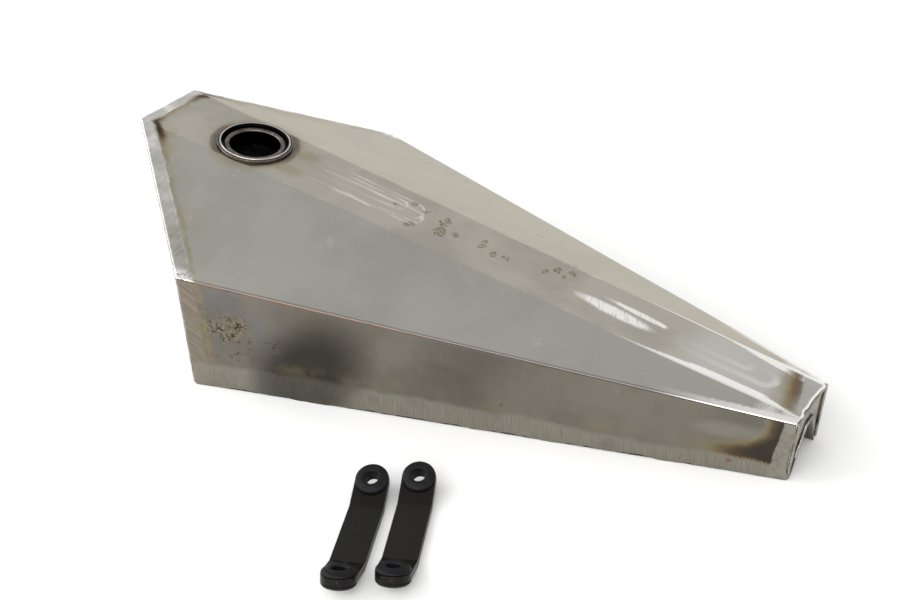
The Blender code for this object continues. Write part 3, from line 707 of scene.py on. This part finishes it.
def hand_made(points, normals, far):
    """Moves the skin's points as grinding, hammering and heat have: dips, lumps, soft edges."""
    moved = points.copy()
    for i, point in enumerate(points):
        normal = normals[i]
        front, tail, foot = far["front"][i], far["tail"][i], far["foot"][i]
        dip = 0.00022 * lump(point, 0.075) - 0.00022
        band = max(0.0, 1.0 - front / FRONT_GROUND)
        dip += band * (0.00030 * lump(point, 0.006, 3.0) - 0.00010)
        for edge in (front, tail, foot):
            if edge < EDGE_ROUND:
                dip -= (EDGE_ROUND - edge) ** 2 / (2 * EDGE_ROUND)
        rear = max(0.0, 1.0 - tail / TAIL_GROUND)
        dip += rear * (0.00055 * lump(point, 0.011, 5.0) - 0.00045)
        moved[i] += normal * dip
        moved[i, 0] += rear ** 2 * (0.0024 * lump((0.0, point[1], point[2]), 0.008, 7.0) - 0.0010)
        if foot < FOOT_DRESSED:
            along = (point[0], 0.0, 0.0)
            rough = 0.6 + lump(along, 0.022, 11.0) + 0.5 * lump(along, 0.006, 13.0)
            ends = min(1.0, front / 0.05, tail / 0.03)
            moved[i, 2] += (1.0 - foot / FOOT_DRESSED) * FOOT_RAISED * max(0.0, rough) * ends
    return moved


def make_skin():
    bm = bmesh.new()
    rows = []
    for u in station_fractions():
        corners = [CORNER[s][f"{rail}_front"].lerp(CORNER[s][f"{rail}_rear"], u) for s, rail in RAILS]
        rows.append([(bm.verts.new(point), face) for point, face in rounded_section(corners)])
    for here, there in zip(rows, rows[1:]):
        for i in range(len(here) - 1):
            made = bm.faces.new((here[i][0], here[i + 1][0], there[i + 1][0], there[i][0]))
            made.material_index = here[i][1]
    hole = NECK_OUTER + HOLE_CLEARANCE
    gone = [f for f in bm.faces if (f.calc_center_median() - NECK).length < hole - 0.0005]
    bmesh.ops.delete(bm, geom=gone, context="FACES")
    for vert in bm.verts:
        flat = vert.co - NECK
        if vert.is_boundary and flat.length < hole * 1.2:
            flat -= STRIP_UP * flat.dot(STRIP_UP)
            vert.co = NECK + flat.normalized() * hole
    bmesh.ops.recalc_face_normals(bm, faces=bm.faces[:])
    if max(bm.faces, key=lambda f: f.calc_center_median().z).normal.z < 0:
        bmesh.ops.reverse_faces(bm, faces=bm.faces[:])
    bm.normal_update()
    points = np.array([v.co[:] for v in bm.verts])
    normals = np.array([v.normal[:] for v in bm.verts])
    far = skin_distances(points)
    for vert, place in zip(bm.verts, hand_made(points, normals, far)):
        vert.co = place
    mesh = finished_mesh(bm, "folded_skin")
    for name, values in far.items():
        set_attribute(mesh, name, values)
    for material in SKIN_MATERIALS:
        mesh.materials.append(material)
    skin = new_object("folded_skin", mesh)
    shell = skin.modifiers.new("thickness", "SOLIDIFY")
    shell.thickness = SHEET
    shell.offset = -1.0
    shell.material_offset = len(SKIN_MATERIALS) - 1
    settle(skin)
    return skin


# ---- making pieces
def new_object(name, data):
    made = bpy.data.objects.new(name, data)
    bpy.context.scene.collection.objects.link(made)
    return made


def cad_faces(node):
    """A CAD node's faces to work on, with doubled corners joined."""
    bm = bmesh.new()
    bm.from_mesh(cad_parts[node].data)
    bmesh.ops.remove_doubles(bm, verts=bm.verts[:], dist=SAME_PLACE)
    return bm


def finished_mesh(bm, name):
    mesh = bpy.data.meshes.new(name)
    bm.to_mesh(mesh)
    bm.free()
    return mesh


def set_attribute(mesh, name, values):
    """Gives a mesh one number for each point, which its material reads by name."""
    mesh.attributes.new(name, "FLOAT", "POINT").data.foreach_set("value", values.astype(np.float32))


def settle(made, angle=32.0):
    """Applies a piece's modifiers and shades it smooth except over sharp edges."""
    evaluated = made.evaluated_get(bpy.context.evaluated_depsgraph_get())
    mesh = bpy.data.meshes.new_from_object(evaluated)
    made.modifiers.clear()
    made.data = mesh
    mesh.shade_smooth()
    mesh.set_sharp_from_angle(angle=math.radians(angle))


def piece(made, material, body, node):
    """Gives a piece what it rides on and hides the CAD node it stands for; its material, unless its mesh has
    its own.
    """
    if material is not None:
        made.data.materials.clear()
        made.data.materials.append(material)
    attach(made, body)
    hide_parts(node)


def facing(origin, axis):
    """The matrix that puts a shape turned about +Z at a place, along an axis."""
    return Matrix.Translation(origin) @ axis.to_track_quat("Z", "Y").to_matrix().to_4x4()


def circle(radius, steps, height=0.0):
    turns = [math.tau * step / steps for step in range(steps)]
    return [Vector((radius * math.cos(turn), radius * math.sin(turn), height)) for turn in turns]


def turned(name, profile, origin, axis, steps=TURNED_STEPS, closed=True):
    """A solid of revolution: (radius, height) points, joined back to the first when closed."""
    bm = bmesh.new()
    rows = []
    for radius, height in profile:
        ring = circle(radius, steps, height) if radius > SAME_PLACE else [(0.0, 0.0, height)]
        rows.append([bm.verts.new(point) for point in ring])
    pairs = list(zip(rows, rows[1:]))
    if closed:
        pairs.append((rows[-1], rows[0]))
    for here, there in pairs:
        for step in range(steps):
            after = (step + 1) % steps
            around = ((here, step), (here, after), (there, after), (there, step))
            corners = list(dict.fromkeys(row[k % len(row)] for row, k in around))
            if len(corners) > 2:
                bm.faces.new(corners)
    bmesh.ops.recalc_face_normals(bm, faces=bm.faces[:])
    bm.transform(facing(origin, axis))
    made = new_object(name, finished_mesh(bm, name))
    settle(made)
    return made


def softened(profile, radius, steps=4):
    """A closed profile with each corner rounded as far as its sides allow."""
    line = []
    count = len(profile)
    for index in range(count):
        before, here, after = (Vector(profile[(index + k) % count]) for k in (-1, 0, 1))
        back, ahead = before - here, after - here
        cut = min(radius, back.length * 0.45, ahead.length * 0.45)
        start = here + back.normalized() * cut
        end = here + ahead.normalized() * cut
        line += [tuple(bend(start, here, end, step / steps)) for step in range(steps + 1)]
    return line


# ---- neck and cam ring
def make_neck():
    bore = NECK_OUTER - NECK_WALL
    low, high = NECK_LEDGE
    rim = [
        (NECK_OUTER, NECK_LOW), (NECK_OUTER, NECK_TOP), (bore, NECK_TOP), (bore, high),
        (NECK_INNER, high), (NECK_INNER, low), (bore, low), (bore, NECK_LOW),
    ]
    neck = turned("neck_ring", softened(rim, 0.0005), NECK, STRIP_UP)
    piece(neck, neck_material(), "tank", "filler_neck")


def make_cam_ring():
    low, high, inner, outer = reach("filler_cam_ring", NECK, STRIP_UP)
    bore = inner + CAM_LIP_REACH
    lip_top = low + CAM_LIP_SHEET
    under_seat = high - CAM_SEAT_SHEET
    seat = [
        (outer, high), (inner + CAM_SEAT_EDGE, high), (bore, high - 0.0010), (bore, lip_top),
        (inner, lip_top), (inner, low), (bore + CAM_WALL, low), (bore + CAM_WALL, under_seat),
        (outer, under_seat),
    ]
    ring = turned("cam_ring", softened(seat, 0.0006), NECK, STRIP_UP)
    piece(ring, cam_material(), "tank", "filler_cam_ring")


def neck_material():
    paint = Paint("turned neck steel", (0.62, 0.60, 0.58), 0.26)
    cloud = paint.noise(0.010, detail=4.0)
    paint.shade(0.72, cloud.rise(0.62, 0.4))
    # Painted shade: the bore's inner wall painted near black.
    inside = paint.far_from(NECK, 1.0).rise(NECK_OUTER - 0.0008, NECK_OUTER - 0.0013)
    paint.coat((0.018, 0.017, 0.020), inside, 0.35)
    paint.raise_by(paint.noise(0.0015, detail=2.0), 0.00006)
    return paint.finish()


def cam_material():
    paint = Paint("cam ring steel", (0.15, 0.13, 0.12), 0.30)
    cloud = paint.noise(0.008, detail=5.0, warp=0.8)
    paint.coat((0.06, 0.05, 0.045), cloud.rise(0.42, 0.62) * 0.8, 0.38)
    # Painted shade: darker down the bore, near black below the strip.
    height = (paint.x - NECK.x) * STRIP_UP.x + (paint.z - NECK.z) * STRIP_UP.z
    paint.coat((0.007, 0.006, 0.006), height.rise(-0.0008, -0.0020), 0.24)
    paint.raise_by(cloud, 0.0002)
    return paint.finish()


# ---- floor, light and camera
def make_floor():
    bpy.ops.mesh.primitive_plane_add(size=14.0, location=(0.0, 0.0, FLOOR_Z))
    floor = bpy.context.object
    floor.name = "floor"
    paint = Paint("pale floor", (0.79,) * 3, 0.95, metallic=0.0, specular=0.1)
    paint.coat((0.97,) * 3, paint.far_from(ORIGIN, 1.0).rise(0.6, 2.4))
    paint.shade(0.985, paint.noise(0.3))
    floor.data.materials.append(paint.finish())


def area_light(name, place, size, power):
    """A rectangle of light that faces the origin."""
    light = bpy.data.lights.new(name, "AREA")
    light.shape = "RECTANGLE"
    light.size, light.size_y = size
    light.energy = power
    made = new_object(name, light)
    made.location = place
    made.rotation_euler = (-Vector(place)).to_track_quat("-Z", "Y").to_euler()


def make_world():
    """A soft studio: dimmer overhead, brighter and a little warm towards the horizon."""
    world = bpy.data.worlds.new("studio")
    bpy.context.scene.world = world
    world.use_nodes = True
    tree = world.node_tree
    separate = tree.nodes.new("ShaderNodeSeparateXYZ")
    coords = tree.nodes.new("ShaderNodeTexCoord")
    tree.links.new(coords.outputs["Generated"], separate.inputs[0])
    ramp = tree.nodes.new("ShaderNodeValToRGB")
    tree.links.new(separate.outputs["Z"], ramp.inputs["Fac"])
    stops = (
        (0.0, (1.04, 1.02, 0.98)), (0.25, (1.0, 0.99, 0.96)), (0.65, (0.92, 0.92, 0.90)),
        (1.0, (0.80, 0.80, 0.79)),
    )
    elements = ramp.color_ramp.elements
    elements.remove(elements[1])
    elements[0].color = (*stops[0][1], 1.0)
    for position, colour in stops[1:]:
        elements.new(position).color = (*colour, 1.0)
    background = tree.nodes["Background"]
    tree.links.new(ramp.outputs["Color"], background.inputs["Color"])
    background.inputs["Strength"].default_value = 1.0


def make_camera():
    camera = bpy.data.cameras.new("camera")
    camera.lens = CAMERA_LENS
    camera.sensor_width = 36.0
    camera.clip_start = 0.01
    made = new_object("camera", camera)
    made.location = CAMERA_PLACE
    made.rotation_euler = [math.radians(a) for a in CAMERA_TURN]
    bpy.context.scene.camera = made


# ---- weld beads
def weld_path(node):
    """The corners of a CAD bead's path, in order: the middles of its rings of points."""
    groups = []
    for point in node_points(node):
        for group in groups:
            if (group[0] - point).length < RING_REACH:
                group.append(point)
                break
        else:
            groups.append([point])
    centres = [sum(g, Vector()) / len(g) for g in groups]
    middle = sum(centres, Vector()) / len(centres)
    path = [max(centres, key=lambda c: (c - middle).length)]
    rest = [c for c in centres if c is not path[0]]
    while rest:
        path.append(min(rest, key=lambda c: (c - path[-1]).length))
        rest.remove(path[-1])
    return path


def ring_path(node, origin, axis):
    """A circle through the middle of a ring-shaped CAD bead."""
    low, high, inner, outer = reach(node, origin, axis)
    turn = facing(origin + axis * (low + high) / 2, axis)
    ring = [turn @ point for point in circle((inner + outer) / 2, RING_STEPS)]
    return ring + ring[:1]


def sampled(path, step):
    """Points along a path at even spacing."""
    points = []
    for a, b in zip(path, path[1:]):
        count = max(1, round((b - a).length / step))
        points += [a.lerp(b, i / count) for i in range(count)]
    return points + [path[-1]]


NO_BEAD_RUNS_THIS_WAY = Vector((0.31, 0.17, 0.93))
ABOVE_FLOOR = 0.0001


def make_bead(node, path, radius, seed):
    """A run of weld metal: overlapping ripples of a size that wanders."""
    points = sampled(path, BEAD_RIPPLE / RIPPLE_STEPS)
    closed = (points[0] - points[-1]).length < 1e-5
    bm = bmesh.new()
    rings = []
    count = len(points)
    for i, point in enumerate(points):
        before = points[i - 1] if i else (points[-2] if closed else points[0])
        ahead = points[i + 1] if i + 1 < count else (points[1] if closed else points[-1])
        along = (ahead - before).normalized()
        side = along.cross(NO_BEAD_RUNS_THIS_WAY).normalized()
        up = side.cross(along)
        ripple = 0.5 + 0.5 * math.cos(math.tau * (i % RIPPLE_STEPS) / RIPPLE_STEPS)
        size = radius * (0.86 + 0.14 * ripple + 0.16 * lump(point, 0.005, seed))
        sway = 0.25 * radius * lump(point, 0.008, seed + 9.0)
        ring = []
        for k in range(BEAD_SIDES):
            turn = math.tau * k / BEAD_SIDES
            place = point + side * (size * math.cos(turn) + sway) + up * size * math.sin(turn)
            place.z = max(place.z, FLOOR_Z + ABOVE_FLOOR)
            ring.append(bm.verts.new(place))
        rings.append(ring)
    for here, there in zip(rings, rings[1:]):
        for k in range(BEAD_SIDES):
            after = (k + 1) % BEAD_SIDES
            bm.faces.new((here[k], here[after], there[after], there[k]))
    if closed:
        bmesh.ops.remove_doubles(bm, verts=rings[0] + rings[-1], dist=1e-5)
    else:
        bm.faces.new(rings[0])
        bm.faces.new(rings[-1])
    bmesh.ops.recalc_face_normals(bm, faces=bm.faces[:])
    mesh = finished_mesh(bm, node)
    mesh.shade_smooth()
    return new_object(node.replace("weld_", "bead_"), mesh)


def weld_material(name, colour, tint):
    paint = Paint(name, colour, 0.34)
    heat = paint.noise(0.010)
    paint.coat(tint, heat.rise(0.42, 0.62) * 0.8)
    paint.coat(BLUE_BLACK, heat.rise(0.60, 0.72) * 0.6)
    paint.shade(0.6, paint.noise(0.002, detail=2.0).rise(0.55, 0.4) * 0.6)
    paint.raise_by(paint.noise(0.0009, detail=2.0), 0.00008)
    return paint.finish()


def make_beads():
    seam = weld_material("weld metal", (0.36, 0.345, 0.32), (0.25, 0.22, 0.18))
    neck_ring = weld_material("weld metal, neck", (0.15, 0.14, 0.13), (0.09, 0.065, 0.04))
    # Painted shade: the bottom welds, in the shade under the foot, painted near black.
    painted_shade_weld = weld_material("weld metal, in the shade of the foot", (0.030, 0.027, 0.024), (0.02, 0.015, 0.012))
    looks = {"weld_filler_neck": neck_ring, "weld_bottom_left": painted_shade_weld, "weld_bottom_right": painted_shade_weld}
    paths = {}
    for index, node in enumerate(sorted(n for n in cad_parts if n.startswith("weld_"))):
        if node == "weld_filler_neck":
            path, radius = ring_path(node, NECK, STRIP_UP), NECK_BEAD_RADIUS
        elif "bung" in node:
            path, radius = ring_path(node, middle_of(node), UP), BUNG_BEAD_RADIUS
        else:
            path, radius = weld_path(node), BEAD_RADIUS
        paths[node] = path
        bead = make_bead(node, path, radius, float(index))
        piece(bead, looks.get(node, seam), "tank", node)
    return paths


# ---- set-in plates and the channel
def make_plate(node, paths, material):
    """A CAD plate with a fine mesh that knows how far each point is from the nearest weld."""
    bm = cad_faces(node)
    for _ in range(8):
        long_edges = [e for e in bm.edges if e.calc_length() > PLATE_MESH]
        if not long_edges:
            break
        bmesh.ops.subdivide_edges(bm, edges=long_edges, cuts=1)
        bmesh.ops.triangulate(bm, faces=[f for f in bm.faces if len(f.verts) > 3])
    mesh = finished_mesh(bm, node)
    points = np.array([v.co[:] for v in mesh.vertices])
    near = [segment_distance(points, a, b) for path in paths.values() for a, b in zip(path, path[1:])]
    set_attribute(mesh, "seam", np.min(near, axis=0))
    made = new_object(node + "_sheet", mesh)
    settle(made)
    piece(made, material, "tank", node)


def plate_material(name, colour, painted_shade_inside):
    paint = Paint(name, colour, 0.42)
    sheet_texture(paint, 0.8, 1.15)
    seam = paint.attribute("seam") + paint.wander(0.006, 0.010)
    paint.coat(OLIVE, seam.rise(0.016, 0.006) * 0.35)
    paint.coat(BROWN, seam.band(0.0035, 0.0065, 0.0015) * 0.35)
    paint.coat((0.13, 0.13, 0.15), seam.rise(0.0045, 0.0030) * 0.5, 0.36)
    paint.coat((0.45, 0.43, 0.40), seam.rise(0.0024, 0.0016) * 0.6)
    if painted_shade_inside:
        # Painted shade: faces turned up, inside the tank, painted near black.
        facing_up = paint.parts(paint.node("NewGeometry").outputs["Normal"])[2]
        paint.coat((0.02, 0.018, 0.016), facing_up.rise(0.15, 0.5), 0.6)
    return paint.finish()


# The skin's inner side: painted near black as shade inside the tank, with brownish mottling.
def inner_material():
    paint = Paint("sheet steel, inside", (0.030, 0.027, 0.024), 0.55)
    paint.coat((0.05, 0.035, 0.02), paint.noise(0.03, detail=4.0).rise(0.5, 0.65))
    return paint.finish()


# ---- bungs
AXIS_REACH = 0.001


def make_bung(node, material):
    """A turned boss with chamfers and an inside thread, its open face down; a bung may be blind."""
    low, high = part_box(node)
    origin = Vector(((low.x + high.x) / 2, (low.y + high.y) / 2, low.z))
    radii = [(p - origin).xy.length for p in node_points(node)]
    outer = max(radii)
    bore = min(r for r in radii if r > AXIS_REACH)
    height = high.z - low.z
    blind = min(radii) < AXIS_REACH
    depth = height - BUNG_FLOOR if blind else height - THREAD_PITCH
    turns = int((depth - 2 * THREAD_PITCH) / THREAD_PITCH)
    profile = [
        (outer, height), (outer, BUNG_CHAMFER), (outer - BUNG_CHAMFER, 0.0), (bore + BUNG_LEAD_IN, 0.0),
        (bore, BUNG_LEAD_IN),
    ]
    for turn in range(turns):
        start = BUNG_LEAD_IN + turn * THREAD_PITCH
        for share, deep in ((0.25, 0.0), (0.65, THREAD_DEPTH), (1.0, 0.0)):
            profile.append((bore + deep, start + share * THREAD_PITCH))
    if blind:
        profile += [(bore, depth), (0.0, depth), (0.0, height)]
        profile = profile[-1:] + profile[:-1]
    else:
        profile += [(bore, height)]
    name = node.replace("mount_", "") + "_turned"
    made = turned(name, profile, origin, UP, steps=SMALL_TURNED_STEPS, closed=not blind)
    piece(made, material, "tank", node)


def bung_material():
    paint = Paint("turned steel", (0.50, 0.48, 0.46), 0.30)
    paint.shade(0.7, paint.noise(0.006, detail=4.0).rise(0.6, 0.4))
    rings = paint.noise((0.02, 0.02, 0.0004), detail=1.0)
    paint.shade(0.8, rings.rise(0.6, 0.4) * 0.6)
    return paint.finish()


# ---- straps and grommets
def make_strap(node, body, material):
    """The CAD strap with its edges broken, as a punched and painted flat bar has."""
    bm = cad_faces(node)
    bmesh.ops.dissolve_limit(bm, angle_limit=math.radians(1.5), verts=bm.verts[:], edges=bm.edges[:])
    made = new_object(node.replace("mount_", "") + "_bar", finished_mesh(bm, node))
    bevel = made.modifiers.new("broken edges", "BEVEL")
    bevel.width = STRAP_EDGE
    bevel.segments = 4
    bevel.limit_method = "ANGLE"
    bevel.angle_limit = math.radians(50)
    settle(made, 40.0)
    piece(made, material, body, node)


def turned_axis(node):
    """Middle and axis of a turned node, upwards: its points spread alike both ways across it."""
    points = np.array([p[:] for p in node_points(node)])
    middle = points.mean(axis=0)
    spread, ways = np.linalg.eigh(np.cov((points - middle).T))
    odd = 0 if spread[1] - spread[0] > spread[2] - spread[1] else 2
    axis = Vector(ways[:, odd])
    return Vector(middle), axis if axis.z > 0 else -axis


def make_grommet(node, body, material):
    origin, axis = turned_axis(node)
    low, high, bore, flange = reach(node, origin, axis)
    waist = flange - 0.0030
    strap = (high - low) / 2 - GROMMET_PROUD
    half = [
        (bore, 0.0), (bore, high - 0.0007), (bore + 0.0007, high), (flange - 0.0036, high),
        (flange - 0.0032, high - 0.0004), (flange - 0.0024, high - 0.0005), (flange - 0.0010, high - 0.0011),
        (flange - 0.0002, high - 0.0021), (flange, strap + 0.0007), (flange - 0.0004, strap + 0.0003),
        (waist, strap + 0.0003),
    ]
    profile = half + [(radius, -height) for radius, height in reversed(half[1:])]
    made = turned(node + "_rubber", softened(profile, 0.0005, 3), origin, axis, SMALL_TURNED_STEPS)
    piece(made, material, body, node)


def strap_material():
    paint = Paint("black satin paint", (0.0034, 0.0029, 0.0024), 0.32, metallic=0.0, specular=0.17)
    peel = paint.noise(0.0018, detail=2.0)
    cloud = paint.noise(0.014, detail=4.0)
    paint.roughness = cloud * 0.16 + 0.22
    paint.coat((0.03, 0.028, 0.026), paint.noise(0.004, detail=5.0).rise(0.62, 0.75) * 0.5)
    dust = paint.cells(0.004).rise(0.09, 0.05) * paint.noise(0.012, shift=2.0).rise(0.55, 0.65)
    paint.coat((0.25,) * 3, dust * 0.5)
    paint.raise_by(peel, 0.00003)
    return paint.finish()


def rubber_material():
    paint = Paint("black rubber", (0.0045, 0.0045, 0.0060), 0.46, metallic=0.0, specular=0.14)
    bloom = paint.noise(0.007, detail=5.0)
    paint.coat((0.012, 0.012, 0.016), bloom.rise(0.48, 0.68) * 0.6, 0.58)
    paint.raise_by(paint.noise(0.0007), 0.00006)
    return paint.finish()


# ---- build
make_camera()
make_floor()
make_world()
area_light("key", (0.8, -3.2, 2.3), (5.0, 3.0), 150.0)
area_light("fill", (-3.2, -1.4, 2.3), (3.5, 3.0), 90.0)

# The right facet is given a lighter colour than the left one: painted light, for the far facet that catches
# more light.
SKIN_MATERIALS = [
    side_material("left"), facet_material("left", (0.37, 0.36, 0.33)), strip_material(),
    facet_material("right", (0.455, 0.425, 0.362)), side_material("right"), inner_material(),
]
skin = make_skin()
piece(skin, None, "tank", "top_skin")
make_neck()
make_cam_ring()
seam_paths = make_beads()
outer_plate = plate_material("plate steel", (0.42, 0.41, 0.39), False)
# Bottom plates: a little darker than the outer plates, as painted shade under the tank.
floor_plate = plate_material("plate steel, one side inside the tank", (0.36, 0.35, 0.33), True)
# Painted shade: the channel's steel painted dark, as it is seen in shade inside the tunnel.
painted_shade_channel = plate_material("channel steel, dark with heat", (0.050, 0.046, 0.042), True)
PLATES = {
    "nose_plate": outer_plate, "rear_plate": outer_plate, "front_wall_left": outer_plate,
    "front_wall_right": outer_plate, "bottom_plate_left": floor_plate, "bottom_plate_right": floor_plate,
    "backbone_channel": painted_shade_channel,
}
for node in sorted(PLATES):
    make_plate(node, seam_paths, PLATES[node])
boss_steel = bung_material()
paint_black = strap_material()
rubber = rubber_material()
for node in sorted(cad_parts):
    if node.startswith("mount_bung") or node == "petcock_bung":
        make_bung(node, boss_steel)
for word in ("left", "right"):
    make_strap(f"mount_strap_{word}", f"strap_{word}", paint_black)
    for end in ("near", "far"):
        make_grommet(f"grommet_{word}_{end}", f"strap_{word}", rubber)
bpy.context.scene.view_settings.view_transform = "Standard"
